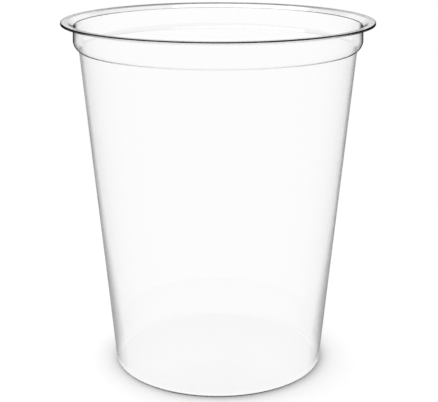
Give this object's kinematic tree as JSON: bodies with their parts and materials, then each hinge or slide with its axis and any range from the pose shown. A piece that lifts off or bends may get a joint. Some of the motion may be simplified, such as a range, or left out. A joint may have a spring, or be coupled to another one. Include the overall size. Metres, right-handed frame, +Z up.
{
  "type": "deli container",
  "caption": "Clear round tapered deli container, open at the top, with a narrow flange and short skirt for a push-on lid, a rounded collar and a slightly arched base.",
  "frame": {"origin": "on the container's axis, in the plane that the base ring stands on", "axes": "+Z up along the container's axis, from the base to the open mouth; X and Y are alike, because the container is round"},
  "size_m": [0.117, 0.117, 0.135],
  "materials": {
    "clear_plastic": "clear colourless bioplastic sheet, smooth and glossy on both sides"
  },
  "bodies": {
    "root": {"container": "clear_plastic"}
  },
  "joints": []
}
